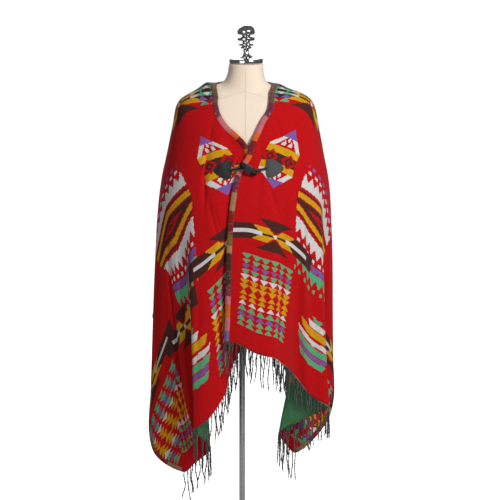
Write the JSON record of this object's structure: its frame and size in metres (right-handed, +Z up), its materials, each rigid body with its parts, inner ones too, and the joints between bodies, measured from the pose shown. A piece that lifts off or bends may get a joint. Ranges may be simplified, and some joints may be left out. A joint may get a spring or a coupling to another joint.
{
  "type": "poncho on dress form",
  "caption": "Open-front fringed poncho with a toggle fastening, woven in a geometric pattern, hanging on a limbless dress form with a pole and round base.",
  "frame": {"origin": "on the floor, at the middle of the stand's round base, on the pole's axis", "axes": "+Z up, the garment's front faces -Y, +X is to the right as seen from the front"},
  "size_m": [0.5633, 0.4586, 1.614],
  "materials": {
    "cloth": "brushed woven wool blend, red with a geometric pattern",
    "edging": "space-dyed braid in brown, purple, pink and orange",
    "fringe": "twisted charcoal yarn",
    "leather": "grained dark grey leather",
    "toggle": "polished dark horn",
    "cord": "black braided cord",
    "form": "cream linen jersey over a padded form",
    "metal": "polished chrome"
  },
  "bodies": {
    "root": {"front_right": "cloth", "front_left": "cloth", "back": "cloth", "slit_edging_right": "edging", "slit_edging_left": "edging", "neck_edging_back": "edging", "side_edging_front_right": "edging", "side_edging_front_left": "edging", "side_edging_back_right": "edging", "side_edging_back_left": "edging", "fringe_right": "fringe", "fringe_left": "fringe", "fringe_back": "fringe", "leather_patch_right": "leather", "leather_patch_left": "leather", "toggle": "toggle", "toggle_cord_right": "cord", "toggle_cord_left": "cord", "form_torso": "form", "neck_cap": "metal", "finial": "metal", "stand_pole": "metal", "stand_base": "metal"}
  },
  "joints": []
}
